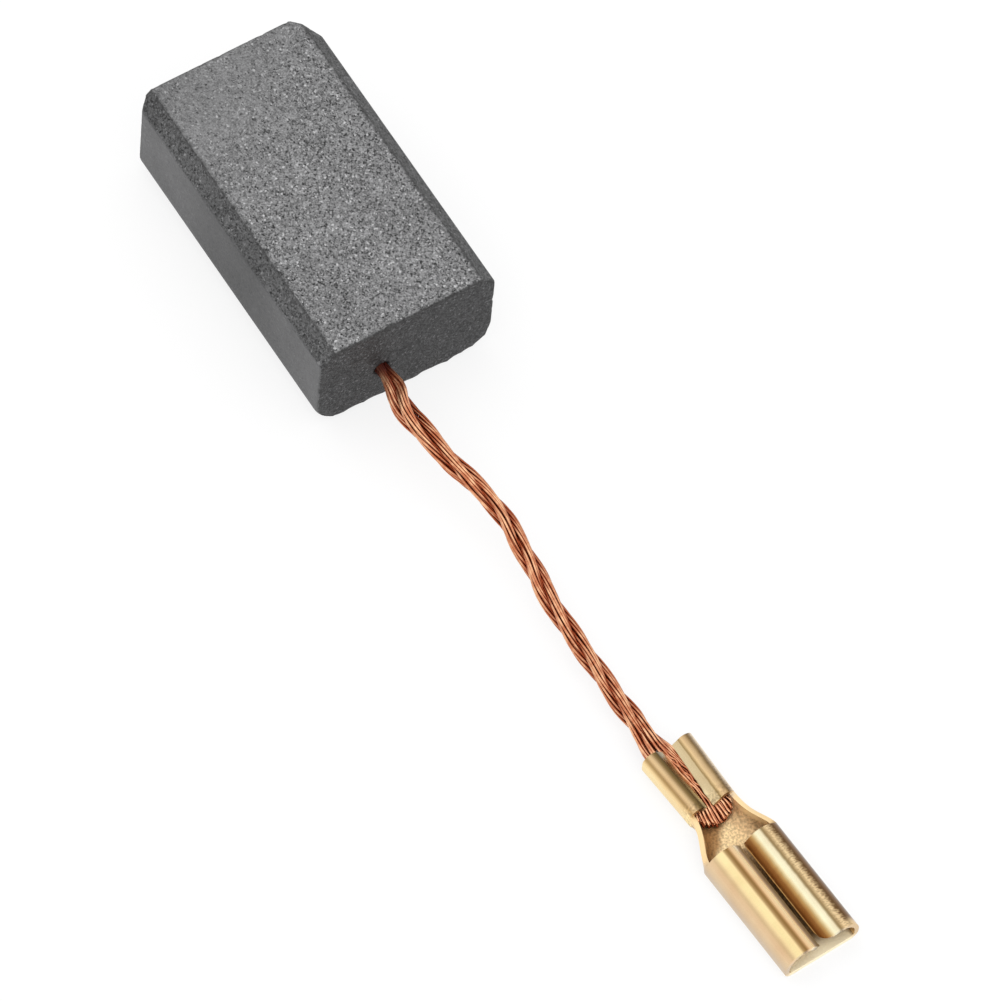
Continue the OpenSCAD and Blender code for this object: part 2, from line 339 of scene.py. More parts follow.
def makeRope():
    # each strand is a circle carried along its path, closed by a fan of triangles at both ends
    line = ropeLine()
    path, side, above, ahead, inner, out = ropeStrands(line)
    count, rings = path.shape[:2]
    sides = rope["strandSides"]
    a = np.arange(sides) * 2 * math.pi / sides
    ends = np.arange(count)
    r = rope["strandDiameter"] / 2
    circle = np.cos(a)[:, None] * side[:, None, :] + np.sin(a)[:, None] * above[:, None, :]
    skin = path[:, :, None, :] + r * circle[None]
    tips = path[:, -1] + 0.25 * r * ahead[-1]
    roots = path[:, 0]
    points = np.concatenate([skin.reshape(-1, 3), tips, roots])
    faces = []
    for k in range(count):
        start = k * rings * sides
        faces.append(grid(rings, sides, True, start))
    faces = np.concatenate(faces).tolist()
    j = np.arange(sides)
    nextJ = (j + 1) % sides
    for k in range(count):
        start = k * rings * sides
        last = start + (rings - 1) * sides
        tip, root = count * rings * sides + k, count * rings * sides + count + k
        faces += np.stack([last + j, last + nextJ, np.full(sides, tip)], -1).tolist()
        faces += np.stack([start + nextJ, start + j, np.full(sides, root)], -1).tolist()
    piece = newPiece("copperRope", points * mm, faces)
    strand = np.concatenate([np.repeat(ends, rings * sides), ends, ends])
    addValue(piece, "strandTint", (strand * 0.6180339) % 1.0)  # spread evenly by the golden ratio
    shade = np.concatenate([np.repeat(inner.ravel(), sides), inner[:, -1], inner[:, 0]])
    addValue(piece, "strandDepthShade", shade)
    # which way each point faces out of the rope, for the painted shade on the strands' flanks
    ridge = (out[..., None, :] * np.stack([np.cos(a), np.sin(a)], -1)).sum(-1)
    addValue(piece, "strandFlankShade", np.concatenate([ridge.ravel(), np.ones(count), np.ones(count)]))
    return piece, line


copperRope, centreline = makeRope()
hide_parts("shunt")
print("copper rope:", len(copperRope.data.polygons), "faces")


# lengths in millimetres, slopes in degrees
terminal = {
    "sheet": 0.2, "rim": 0.03,  # thickness, and rounding of its cut edges
    "neckLength": 2.0, "socketLength": 5.3,
    "barrelFlare": 0.2,  # extra width at the back end
    "barrel": {"width": 2.14, "height": 1.35, "fold": 0.6, "roll": 0.42, "tuck": 0.35, "flank": 50,
               "slit": 0.36},
    "socket": {"width": 3.5, "height": 1.417, "fold": 0.4, "roll": 0.9, "tuck": 0.7, "flank": 45,
               "slit": 0.1},
    "neck": {"width": 2.56, "height": 0.85, "radius": 0.9, "lean": 20},
    # the slit's edges, right of the middle, at the barrel's back and front end, and how steeply the
    # left and the right lip fall towards them
    "slitLeft": (-0.09, -0.32), "slitRight": (0.29, 0.1), "lipFall": (0.95, 0.75),
    "rightLipCorner": 0.65, "leftLipCorner": 0.25,
    "burr": (0.075, 0.015),  # how far the socket's left lip turns up, at its edge and next to it
    "torn": (0.07, 0.03),  # how far the barrel's right lip is torn back, at the same two points
    "steps": (12, 12, 4, 17, 14, 8),  # points on the floor, fold, wall, roll, tuck and lip
    "neckRoll": 4,  # points of the roll that the neck keeps
    "rows": (36, 34, 60),  # rings along the barrel, neck and socket
}


def arc(cx, cy, r, start, end, n):
    # points at even angles, in degrees, on a circle
    a = np.radians(np.linspace(start, end, n))
    return np.stack([cx + r * np.cos(a), cy + r * np.sin(a)], -1)


def foldLine(part, wider=0.0):
    # half of a section's middle line, y and z: floor, fold, wall, roll, tuck and lip in turn
    m = terminal["sheet"] / 2
    w = (part["width"] + wider) / 2
    height, fold, roll, tuck = (part[k] for k in ("height", "fold", "roll", "tuck"))
    crest = w - roll
    flank = math.radians(part["flank"])
    run = (crest - part["slit"] / 2 - tuck * math.sin(flank)) / math.cos(flank)
    nFloor, nFold, nWall, nRoll, nTuck, nLip = terminal["steps"]
    floorPart = np.stack([np.linspace(0, w - fold, nFloor), np.full(nFloor, m)], -1)
    foldPart = arc(w - fold, fold, fold - m, -90, 0, nFold)
    wallPart = np.stack([np.full(nWall, w - m), np.linspace(fold, height - roll, nWall)], -1)
    rollPart = arc(crest, height - roll, roll - m, 0, 90, nRoll)
    tuckPart = arc(crest, height - tuck, tuck - m, 90, 90 + part["flank"], nTuck)
    downhill = -np.array([math.cos(flank), math.sin(flank)])
    lipPart = tuckPart[-1] + np.linspace(0, run, nLip)[:, None] * downhill
    return np.concatenate([floorPart, foldPart[1:], wallPart[1:], rollPart[1:], tuckPart[1:], lipPart[1:]])


def neckLine(part, count):
    # half of the neck's middle section: floor, dished side, and a straight leaning rim
    m = terminal["sheet"] / 2
    w, r = part["width"] / 2, part["radius"]
    nFloor, nFold = terminal["steps"][:2]
    floorPart = np.stack([np.linspace(0, w - r, nFloor), np.full(nFloor, m)], -1)
    dish = arc(w - r, r, r - m, -90, -part["lean"], nFold)
    climb = (part["height"] - dish[-1, 1]) * np.linspace(0, 1, count - nFloor - nFold + 2)[1:, None]
    rimPart = dish[-1] + climb * [math.tan(math.radians(part["lean"])), 1]
    return np.concatenate([floorPart, dish[1:], rimPart])


# multipliers of the brass colour across each half of the socket and of the barrel, by the distance
# in millimetres from the crest towards the lip: painted reflections, light and dark bands in place of
# what the rolls reflect, with dark lines along the crests and dark olive and brown flanks
paintedBands = {
    "socketLeft": [(-1.9, (1, 1, 1)), (-1.26, (0.7, 0.76, 1.03)), (-0.84, (0.86, 0.86, 0.97)),
                   (-0.7, (0.98, 0.93, 1.02)), (-0.56, (0.97, 0.93, 0.95)), (-0.28, (0.97, 1.1, 1.04)),
                   (-0.15, (1.02, 1.08, 1.04)), (-0.06, (0.36, 0.28, 0.19)), (0.05, (0.33, 0.25, 0.15)),
                   (0.1, (0.62, 0.5, 0.4)), (0.16, (1.0, 0.91, 0.9)), (0.31, (1.15, 1.18, 1.25)),
                   (0.37, (1.15, 1.3, 1.6)), (0.46, (0.7, 0.8, 1.1)), (0.65, (0.42, 0.45, 0.45)),
                   (0.84, (0.6, 0.6, 0.6)), (0.88, (1.2, 1.25, 1.4))],
    "socketRight": [(-1.9, (1, 1, 1)), (-1.26, (0.9, 0.9, 0.95)), (-0.12, (1.03, 1.04, 1.06)),
                    (-0.04, (0.33, 0.28, 0.2)), (0.04, (0.38, 0.38, 0.34)), (0.11, (0.92, 1.1, 1.38)),
                    (0.26, (0.98, 1.27, 1.6)), (0.31, (0.98, 1.15, 1.33)), (0.37, (0.98, 1.02, 0.98)),
                    (0.46, (0.68, 0.54, 0.34)), (0.6, (0.35, 0.2, 0.1)), (0.84, (0.2, 0.1, 0.05)),
                    (0.92, (1, 1, 1))],
    "barrelLeft": [(-0.5, (1.08, 1.15, 1.1)), (-0.39, (1.05, 1.06, 1.04)), (-0.31, (0.78, 0.74, 0.66)),
                   (-0.25, (0.58, 0.5, 0.37)), (-0.17, (0.72, 0.66, 0.62)), (-0.11, (0.8, 0.77, 0.76)),
                   (-0.05, (0.6, 0.57, 0.56)), (0, (0.38, 0.34, 0.29)), (0.05, (0.25, 0.22, 0.15)),
                   (0.17, (0.14, 0.12, 0.08)), (0.22, (0.22, 0.24, 0.26)), (0.48, (0.9, 1.1, 1.4))],
    "barrelRight": [(-0.5, (1, 1.1, 1.4)), (-0.28, (0.85, 0.95, 1.25)), (-0.22, (0.7, 0.76, 1)),
                    (-0.17, (0.5, 0.5, 0.6)), (-0.11, (0.25, 0.23, 0.2)), (-0.06, (0.38, 0.34, 0.29)),
                    (0, (0.59, 0.56, 0.54)), (0.05, (0.68, 0.65, 0.65)), (0.12, (0.84, 0.82, 0.8)),
                    (0.16, (0.76, 0.73, 0.66)), (0.215, (0.44, 0.4, 0.28)), (0.24, (0.9, 0.95, 1)),
                    (0.48, (0.96, 1.05, 1.15))],
    # painted shadow on the neck's left and painted shade on its right
    "neckShadow": (0.44, 0.32, 0.22), "neckShade": (0.25, 0.32, 0.36),  # the second is taken off 1
}


def paintedBand(key, crest):
    # the table's colour at a distance from the crest, in straight lines between its stops
    place = [stop[0] for stop in paintedBands[key]]
    return np.stack([np.interp(crest, place, [stop[1][k] for stop in paintedBands[key]]) for k in range(3)], -1)


def paintedLight(socketCrest, barrelCrest, left, zone, x, y):
    # the socket and the barrel have their own bands of painted reflections, and the neck between them
    # has a painted shadow on the left and painted shade on the right
    ragged = 0.012 * wander(x, 0.12, 3)
    socket = np.where(left[..., None], paintedBand("socketLeft", socketCrest),
                      paintedBand("socketRight", socketCrest + ragged))
    barrel = np.where(left[..., None], paintedBand("barrelLeft", barrelCrest),
                      paintedBand("barrelRight", barrelCrest + ragged))
    share = smooth(x, 4.7, 5.0)[..., None]
    neck = smooth(x, 3.0, 3.3)[..., None] * (1 - share)
    # painted shadow: the neck's floor is darkened on its left, with a ragged edge
    place = y + 0.75 + 1.1 * (x - 3.55) + 0.15 * noise(np.stack([x, y, 0 * x], -1), 0.25, 14)
    paintedShade = (1 - smooth(place, 0.75, 1.25))[..., None]
    # painted shade: the neck's floor darkens towards its right
    rightShade = smooth(y - 0.35 * (x - 4.0), 0.25, 0.75)[..., None]
    floor = 1 + paintedShade * (np.array(paintedBands["neckShadow"]) - 1)
    floor = floor * (1 - rightShade * np.array(paintedBands["neckShade"]))
    floor = 1 + (floor - 1) * (1 - smooth(zone, 2.3, 2.9))[..., None]
    return socket * share + barrel * (1 - share - neck) + floor * neck


def makeTerminal():
    # middle surface of the sheet: the fold line runs across, the barrel's line turns into the
    # socket's along the neck, and the neck keeps only the floor and the lower walls
    barrel, back = foldLine(terminal["barrel"]), foldLine(terminal["barrel"], terminal["barrelFlare"])
    socket = foldLine(terminal["socket"])
    half = len(barrel)
    neckHalf = sum(terminal["steps"][:3]) - 2 + terminal["neckRoll"]
    neck = neckLine(terminal["neck"], neckHalf)
    front = barrelLength
    mouth = front + terminal["neckLength"]
    total = mouth + terminal["socketLength"]
    onBarrel, onNeck, onSocket = terminal["rows"]
    rowsAt = np.concatenate([np.linspace(0, front, onBarrel), np.linspace(front, mouth, onNeck)[1:],
                             np.linspace(mouth, total, onSocket)[1:]])
    share = np.clip((rowsAt - front) / terminal["neckLength"], 0, 1)
    blend = (share * share * (3 - 2 * share))[:, None, None]
    line = barrel + blend * (socket - barrel)
    line = line + np.clip(1 - rowsAt / front, 0, 1)[:, None, None] * (back - barrel)
    own = np.sin(math.pi * share)[:, None, None] ** 2
    line[:, :neckHalf] += own * (neck - (barrel + socket)[:neckHalf] / 2)

    # the barrel's lips reach in unevenly, so that the slit runs askew
    lip = terminal["steps"][-1]
    sides = []
    for key, sign, fall in (("slitLeft", -1, 0), ("slitRight", 1, 1)):
        one = line.copy()
        start = one[:, -lip]
        edge = sign * np.interp(rowsAt, (0, front), terminal[key])
        reach = (start[:, 0] - edge)[:, None] * np.linspace(0, 1, lip)
        inBarrel = (1 - smooth(rowsAt, front, front + 0.01))[:, None]
        skew = np.stack([start[:, :1] - reach, start[:, 1:] - reach * terminal["lipFall"][fall]], -1)
        one[:, -lip:] += (skew - one[:, -lip:]) * inBarrel[..., None]
        along = np.broadcast_to(rowsAt[:, None, None], one.shape[:2] + (1,))
        sides.append(np.concatenate([along, one], -1))
    surface = np.concatenate([sides[0][:, :0:-1] * [1, -1, 1], sides[1]], axis=1)
    columns = surface.shape[1]

    # the neck is smoothed like a soap film between the barrel and the socket
    first, last = np.searchsorted(rowsAt, (front, mouth))
    low, high = half - neckHalf, half + neckHalf - 1
    for _ in range(60):
        film = surface[first:last + 1, low:high, 1:]
        inside = film[1:-1, 1:-1]
        mean = (film[:-2, 1:-1] + film[2:, 1:-1] + film[1:-1, :-2] + film[1:-1, 2:]) / 4
        film[1:-1, 1:-1] = inside + 0.8 * (mean - inside)

    # lips' corners at the mouth: rows near the front end are drawn back round a quarter circle
    fromLip = np.concatenate([[0], np.cumsum(np.linalg.norm(np.diff(socket[::-1], axis=0), axis=1))])
    rightHalf, leftHalf = slice(columns - half, columns), slice(0, half)
    for lipDistance, radius, part in ((fromLip[::-1], terminal["rightLipCorner"], rightHalf),
                                      (fromLip, terminal["leftLipCorner"], leftHalf)):
        inside = np.clip(1 - lipDistance / radius, 0, 1)
        pull = radius * (1 - np.sqrt(1 - inside**2))
        nearMouth = smooth(rowsAt, total - 2.5, total)
        surface[:, part, 0] -= nearMouth[:, None] * pull[None, :]

    # the socket's left lip ends in a thin burr that turns up
    surface[:, :2, 2] += smooth(rowsAt, mouth, mouth + 0.2)[:, None] * terminal["burr"]

    # the barrel's right lip ends in a torn burr over its front half
    torn = smooth(rowsAt, 1.5, 1.9) * (1 - smooth(rowsAt, front, front + 0.1))
    jag = np.clip(wander(rowsAt, 0.16, 5) * 0.7 + wander(rowsAt, 0.4, 6) * 0.6, -0.3, 1)
    surface[:, -1, 1] -= terminal["torn"][0] * torn * jag
    surface[:, -2, 1] -= terminal["torn"][1] * torn * jag

    # the neck leaves out the faces beyond its own half line, and the points that only they use
    column = np.abs(np.arange(columns) - (half - 1))
    rowMiddle = (rowsAt[1:] + rowsAt[:-1]) / 2
    inNeck = (rowMiddle > front) & (rowMiddle < mouth)
    cellColumn = np.maximum(column[1:], column[:-1])
    keep = ~(inNeck[:, None] & (cellColumn[None, :] >= neckHalf))
    faces = grid(len(rowsAt), columns)[keep.ravel()]
    used = np.unique(faces)
    renumber = np.zeros(surface.shape[0] * columns, int)
    renumber[used] = np.arange(len(used))
    points = surface.reshape(-1, 3)[used]
    x, y, z = points.T
    placed = np.stack([terminalAt[0] + x * math.cos(terminalYaw) - y * math.sin(terminalYaw),
                       terminalAt[1] + x * math.sin(terminalYaw) + y * math.cos(terminalYaw), z], -1)
    piece = newPiece("brassTerminal", placed * mm, renumber[faces].tolist())

    # zone counts along a half line: 0 to 1 on the floor, 1 to 2 on the fold, up to 6 at the lip's
    # edge; crests are the distances from the crest of the roll, inwards, in the socket and barrel
    ends = np.cumsum([0] + [n - 1 for n in terminal["steps"]])
    zoneHalf = np.interp(np.arange(half), ends, np.arange(7))
    zone = np.broadcast_to(np.concatenate([zoneHalf[:0:-1], zoneHalf]), surface.shape[:2])
    left = np.broadcast_to(np.arange(columns) < half, surface.shape[:2])
    crests = []
    for one in (socket, barrel):
        along = np.concatenate([[0], np.cumsum(np.linalg.norm(np.diff(one, axis=0), axis=1))])
        along -= along[ends[4]]
        crests.append(np.broadcast_to(np.concatenate([along[:0:-1], along]), surface.shape[:2]))
    rowX = np.broadcast_to(rowsAt[:, None], surface.shape[:2])
    # painted reflections and shade, kept as a colour on each point
    tint = paintedLight(*crests, left, zone, rowX, surface[..., 1]).reshape(-1, 3)[used]
    tint = np.hstack([tint, np.ones((len(tint), 1))]).astype(np.float32)
    colour = piece.data.attributes.new("paintedLight", "FLOAT_COLOR", "POINT")
    colour.data.foreach_set("color", tint.ravel())

    # painted shade, standing in for a dark reflection, runs down the socket's right side from just outside
    # its crest
    paintedShade = smooth(-crests[0], 0.1, 0.45) * (1 - 0.15 * smooth(-crests[0], 0.65, 1.0)) * ~left
    paintedShade = paintedShade * smooth(rowX, mouth - 0.3, mouth) * (1 - 0.85 * smooth(rowX, total - 0.45, total - 0.1))
    addValue(piece, "paintedShade", paintedShade.reshape(-1)[used])
    # strokes cross both right rolls just outside their crests
    crest = (1 - smooth(np.abs(crests[0] + 0.22), 0.14, 0.24)) * smooth(rowX, mouth - 0.3, mouth)
    crest = crest + (1 - smooth(np.abs(crests[1] + 0.17), 0.06, 0.14)) * (rowX <= front)
    addValue(piece, "hatched", (crest * np.where(left, 0.06, 1)).reshape(-1)[used])
    # the floor from the barrel's front on, the neck's sides and the socket's left lip are matt, the
    # neck and the barrel's front edge are crazed, and the socket's floor is painted pale at its mouth, a
    # painted highlight of the light coming in there
    matt = smooth(rowX, front - 0.6, front) * (1 - smooth(zone, 3.3, 3.8))
    matt = matt * (1 - smooth(zone, 1.0, 1.4) * smooth(rowX, mouth - 0.4, mouth))
    crazed = matt * (1 - smooth(zone, 2.3, 2.9))
    matt = matt + 0.7 * smooth(crests[0], 0.3, 0.44) * left * smooth(rowX, mouth - 0.1, mouth)
    addValue(piece, "matt", matt.reshape(-1)[used])
    mouthLit = smooth(rowX, total - 1.0, total - 0.1) * (1 - smooth(zone, 1.0, 1.8))
    addValue(piece, "mouthHighlight", mouthLit.reshape(-1)[used])
    crushed = smooth(rowX, front - 0.7, front - 0.1) * (rowX <= front) * smooth(zone, 2.5, 3.2)
    addValue(piece, "crazed", (crazed + crushed).reshape(-1)[used])

    wall = piece.modifiers.new("sheet", "SOLIDIFY")
    wall.thickness = terminal["sheet"] * mm
    wall.offset = 0
    wall.use_even_offset = False
    rim = piece.modifiers.new("rim", "BEVEL")
    rim.width = terminal["rim"] * mm
    rim.segments = 3
    rim.limit_method = "ANGLE"
    rim.angle_limit = math.radians(50)
    return piece


brassTerminal = makeTerminal()
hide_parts("terminal")
print("brass terminal:", len(brassTerminal.data.polygons), "faces")


# lengths in millimetres
block = {
    "length": blockLength, "width": blockWidth, "thickness": blockThickness,
    "chamfer": 0.63, "bottomRound": 1.3, "leftBevel": 0.4, "rightBevel": 1.0,
    "edge": 0.08, "softEdge": 0.3,  # rounding of the sharp edges, and of the chamfers' lower ones
    "hole": (-1.1, 2.2), "holeRadius": 0.36, "sinkDepth": 0.1, "sinkRim": 0.05, "holeDepth": 6.9,
    "spacing": 0.075,  # between the outline's points
    "bevelReach": 1.6,  # how far along the block the bevels' cut fades away
    "chip": 0.05, "crumble": 0.1,  # depth of the chips and of the crumbled edge
    "contactRows": 9, "rows": 190, "shuntFaceRows": 30,
}


def blockOutline(spacing):
    # closed outline of the section, y and z, anticlockwise: an arc at each corner, then the
    # straight to the next one
    w, t, c, e = block["width"] / 2, block["thickness"], block["chamfer"], block["edge"]
    s = block["softEdge"]
    corners = [((w, t - c), s, 45), ((w - c, t), e, 45), ((-w + c, t), e, 45), ((-w, t - c), s, 45),
               ((-w, 0), block["bottomRound"], 90), ((w, 0), block["bottomRound"], 90)]
    points = np.array([p for p, r, turn in corners], float)
    heading = np.roll(points, -1, axis=0) - points
    heading /= np.linalg.norm(heading, axis=1, keepdims=True)
    arcs = []
    for i, (p, r, turn) in enumerate(corners):
        before = heading[i - 1]
        back = r * math.tan(math.radians(turn) / 2)
        centre = points[i] - before * back + r * np.array([-before[1], before[0]])
        start = math.degrees(math.atan2(-before[0], before[1]))
        arcs.append(arc(*centre, r, start, start + turn, 5 if r < 0.2 else 12))
    out = []
    for i, bend in enumerate(arcs):
        following = arcs[(i + 1) % len(arcs)][0]
        fine = spacing if max(following[1], bend[-1][1]) > 1 else spacing * 3
        n = max(int(np.linalg.norm(following - bend[-1]) / fine), 2)
        out += [bend, bend[-1] + (following - bend[-1]) * (np.arange(1, n) / n)[:, None]]
    return np.concatenate(out)


def makeBlock():
    # rings of the outline: out over the contact face from near its middle, along the length, and in
    # over the shunt face into the hole; each row has its x, its ring, how much it faces along x and
    # its distance from the end's edge; one polygon closes the contact face, and a fan the hole
    outline = blockOutline(block["spacing"])
    columns = len(outline)
    half, edge, tall = block["length"] / 2, block["edge"], block["thickness"]
    tangent = np.roll(outline, -1, axis=0) - np.roll(outline, 1, axis=0)
    tangent /= np.linalg.norm(tangent, axis=1, keepdims=True)
    outward = np.stack([tangent[:, 1], -tangent[:, 0]], -1)
    inner = outline - edge * outward
    hole, r = np.array(block["hole"]), block["holeRadius"]
    middle = np.array([0, tall / 2])
    ray = inner - hole
    ray /= np.linalg.norm(ray, axis=1, keepdims=True)
    farIn = 9  # past the reach of the edge's wear

    rows = []
    for share in np.linspace(0.6, 0, block["contactRows"])[:-1]:
        ring = inner + (middle - inner) * share
        rows.append((-half, ring, -1, np.linalg.norm(ring - inner, axis=1)))
    for a in np.radians(np.linspace(90, 0, 5)):
        ring = outline - edge * (1 - math.cos(a)) * outward
        rows.append((-half + edge * (1 - math.sin(a)), ring, -math.sin(a), 0))
    for x in np.linspace(-half + edge, half - edge, block["rows"])[1:-1]:
        rows.append((x, outline, 0, half - abs(x)))
    for a in np.radians(np.linspace(0, 90, 5)):
        ring = outline - edge * (1 - math.cos(a)) * outward
        rows.append((half - edge * (1 - math.sin(a)), ring, math.sin(a), 0))
    rim = hole + (r + block["sinkRim"]) * ray
    for share in np.linspace(0, 1, block["shuntFaceRows"])[1:]:
        share = share ** 1.5
        ring = inner + (rim - inner) * share
        rows.append((half, ring, 1, np.linalg.norm(ring - inner, axis=1)))
    for share in np.linspace(0, 1, 5)[1:]:
        ring = hole + (r + block["sinkRim"] * (1 - share)) * ray
        rows.append((half - block["sinkDepth"] * share, ring, 0.7, farIn))
    for depth in (1, 3, block["holeDepth"]):
        rows.append((half - depth, hole + r * ray, 0, farIn))
    x, ring, tilt, fromEnd = (np.stack([np.broadcast_to(row[k], row[1].shape[:1 if k != 1 else 2])
                                        for row in rows]) for k in range(4))
    points = np.concatenate([x[..., None], ring], -1)
    facing = np.concatenate([tilt[..., None], np.sqrt(1 - tilt**2)[..., None] * outward], -1)

    # the contact end's two upright bevels push the skin back along x
    for side, size in ((1, block["rightBevel"]), (-1, block["leftBevel"])):
        cutBack = np.clip(size - (block["width"] / 2 - side * points[..., 1]), 0, None)
        points[..., 0] += cutBack * np.clip(1 - (points[..., 0] + half) / block["bevelReach"], 0, 1)

    # chips along the sharp edges, and a crumbled lower edge of the shunt face, both only inward
    w, c = block["width"] / 2, block["chamfer"]
    edges = np.array([(w - c, tall), (-w + c, tall)])
    fromLong = np.linalg.norm(points[..., None, 1:] - edges, axis=-1).min(-1)
    near = np.maximum(np.exp(-(fromEnd / 0.09) ** 2), np.exp(-(fromLong / 0.07) ** 2))
    chips = np.clip(noise(points, 0.24, 5) * 0.7 + noise(points, 0.11, 6) * 0.6 - 0.15, 0, 1)
    low = (1 - smooth(points[..., 2], 0.7, 1.6)) * (points[..., 0] > 0) * np.exp(-(fromEnd / 0.2) ** 2)
    crumbs = np.clip(0.5 + noise(points, 0.9, 8) * 0.35 + noise(points, 0.3, 9) * 0.6, 0, 1)
    points -= facing * (block["chip"] * chips * near + block["crumble"] * crumbs * low)[..., None]
    points[..., 2] = np.maximum(points[..., 2], 0)
    line = np.exp(-(fromLong / 0.09) ** 2) * (1 + 0.5 * (points[..., 1] > 0))
    line = line + 0.5 * np.exp(-(fromEnd / 0.09) ** 2)
    wear = np.clip(0.75 * line * (0.7 + 0.6 * noise(points, 0.3, 12)) + 1.6 * chips * near, 0, 1)

    flat = points.reshape(-1, 3)
    closing = [[half - block["holeDepth"], *hole]]
    faces = grid(len(rows), columns, True).tolist()
    j = np.arange(columns)
    nextJ = (j + 1) % columns
    last = (len(rows) - 1) * columns
    faces += np.stack([last + j, last + nextJ, np.full(columns, len(flat))], -1).tolist()
    faces.append(j[::-1].tolist())
    piece = newPiece("carbonBlock", np.concatenate([flat, closing]) * mm, faces)
    addValue(piece, "edgeWear", np.concatenate([wear.ravel(), [0]]))
    return piece


carbonBlock = makeBlock()
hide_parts("carbon_block")
print("carbon block:", len(carbonBlock.data.polygons), "faces")


carbon = {
    # painted shade: the top, sides, chamfers and end are lit and shaded copies of one carbon colour,
    # darkest on the end
    "top": (0.168, 0.168, 0.170), "side": (0.118, 0.118, 0.120), "chamfer": (0.071, 0.071, 0.072),
    "end": (0.031, 0.031, 0.032), "worn": (0.03, 0.03, 0.03),
    "roughness": 0.62, "gloss": 0.35,
    "grain": (5.6, 3.0, 1.3, 5.0, 8.5),  # on the top, its calm part, the sides, chamfers and end
}


def carbonMaterial():
    material, tree, shader = newMaterial("pressedCarbon")
    place = addNode(tree, "ShaderNodeTexCoord").outputs["Object"]
    normal = addNode(tree, "ShaderNodeTexCoord").outputs["Normal"]
    axis = addNode(tree, "ShaderNodeSeparateXYZ", {0: normal}).outputs
    fine = addNoise(tree, place, 17000, 2, 0.7)
    grains = addNode(tree, "ShaderNodeTexVoronoi", {"Vector": place, "Scale": 14000})
    patches = addNoise(tree, place, 450, 4, 0.6)
    # the sides are darkest in the middle of their length
    apart = addNode(tree, "ShaderNodeSeparateXYZ", {0: place}).outputs[0]
    apart = addMath(tree, "ABSOLUTE", addMath(tree, "ADD", apart, -1.0 * mm))
    apart = addMap(tree, apart, 0, 8 * mm, 0.58, 1.12)
    # painted shade: the colour is picked by which way the surface faces, lightest on top, darker on the
    # sides and chamfers
    face = addRamp(tree, axis[2], [(0.1, carbon["side"]), (0.62, carbon["chamfer"]),
                                   (0.88, carbon["chamfer"]), (0.98, carbon["top"])])
    upright = addMap(tree, axis[2], 0.6, 0.2)
    face = addMix(tree, upright, face, addMix(tree, 1.0, face, apart, "MULTIPLY"))
    # painted shade: the end facing along the block is darkest
    end = addMap(tree, axis[0], 0.6, 0.95)
    colour = addMix(tree, end, face, (*carbon["end"], 1))

    # grain: noise plus single crystals, strong on the top, weaker on its far left part
    crystal = addNode(tree, "ShaderNodeSeparateColor", {0: grains.outputs["Color"]}).outputs[0]
    mixed = addMath(tree, "ADD", addMath(tree, "MULTIPLY", fine, 0.6),
                    addMath(tree, "MULTIPLY", crystal, 0.2))
    mixed = addMath(tree, "ADD", mixed, addMath(tree, "MULTIPLY", addNoise(tree, place, 5500), 0.2))
    bright = addMath(tree, "MULTIPLY", addMap(tree, crystal, 0.95, 1.0), 0.25)
    dark = addMath(tree, "MULTIPLY", addMap(tree, crystal, 0.08, 0.0), 0.1)
    mixed = addMath(tree, "SUBTRACT", addMath(tree, "ADD", mixed, bright), dark)
    offset = addMath(tree, "SUBTRACT", mixed, 0.5)
    calm = addNode(tree, "ShaderNodeVectorMath", {0: place, 1: (-80, -60, 0)}, operation="DOT_PRODUCT")
    calm = addMath(tree, "ADD", calm.outputs["Value"], addMath(tree, "MULTIPLY", patches, 0.5))
    worked, rested, side, chamfer, endFace = carbon["grain"]
    onTop = addMap(tree, calm, 0.35, 0.75, worked, rested)
    onSide = addMap(tree, axis[0], 0.5, 0.8, side, endFace)
    onChamfer = addMix(tree, addMap(tree, axis[2], 0.2, 0.6), onSide, (chamfer, chamfer, chamfer, 1))
    strength = addMix(tree, addMap(tree, axis[2], 0.8, 0.95), onChamfer, onTop)
    tone = addMath(tree, "ADD", addMath(tree, "MULTIPLY", offset, strength), 1.0)
    tone = addMath(tree, "MAXIMUM", tone, 0.1)
    colour = addMix(tree, 1.0, colour, tone, "MULTIPLY")
    cloud = addRamp(tree, patches, [(0.32, (0.85, 0.85, 0.85)), (0.68, (1.07, 1.07, 1.07))])
    colour = addMix(tree, 1.0, colour, cloud, "MULTIPLY")
    wear = addMath(tree, "MULTIPLY", readValue(tree, "edgeWear"), 0.75)
    colour = addMix(tree, wear, colour, (*carbon["worn"], 1))
    tree.links.new(colour, shader.inputs["Base Color"])
    shader.inputs["Roughness"].default_value = carbon["roughness"]
    shader.inputs["Specular IOR Level"].default_value = carbon["gloss"]
    tree.links.new(addBump(tree, mixed, 0.6, 0.03 * mm), shader.inputs["Normal"])
    return material


copper = {
    # light and dark are the strands' own tones; inner is the painted shade in the gaps, on the flanks and
    # on the right side, and root the painted shadow where the strands leave the block
    "light": (0.98, 0.56, 0.32), "dark": (0.6, 0.21, 0.10), "inner": (0.31, 0.06, 0.02),
    "root": (0.07, 0.012, 0.01), "rootShadowEnds": 0.9,  # how far past the block the painted root shadow reaches
    "roughness": 0.22,
}


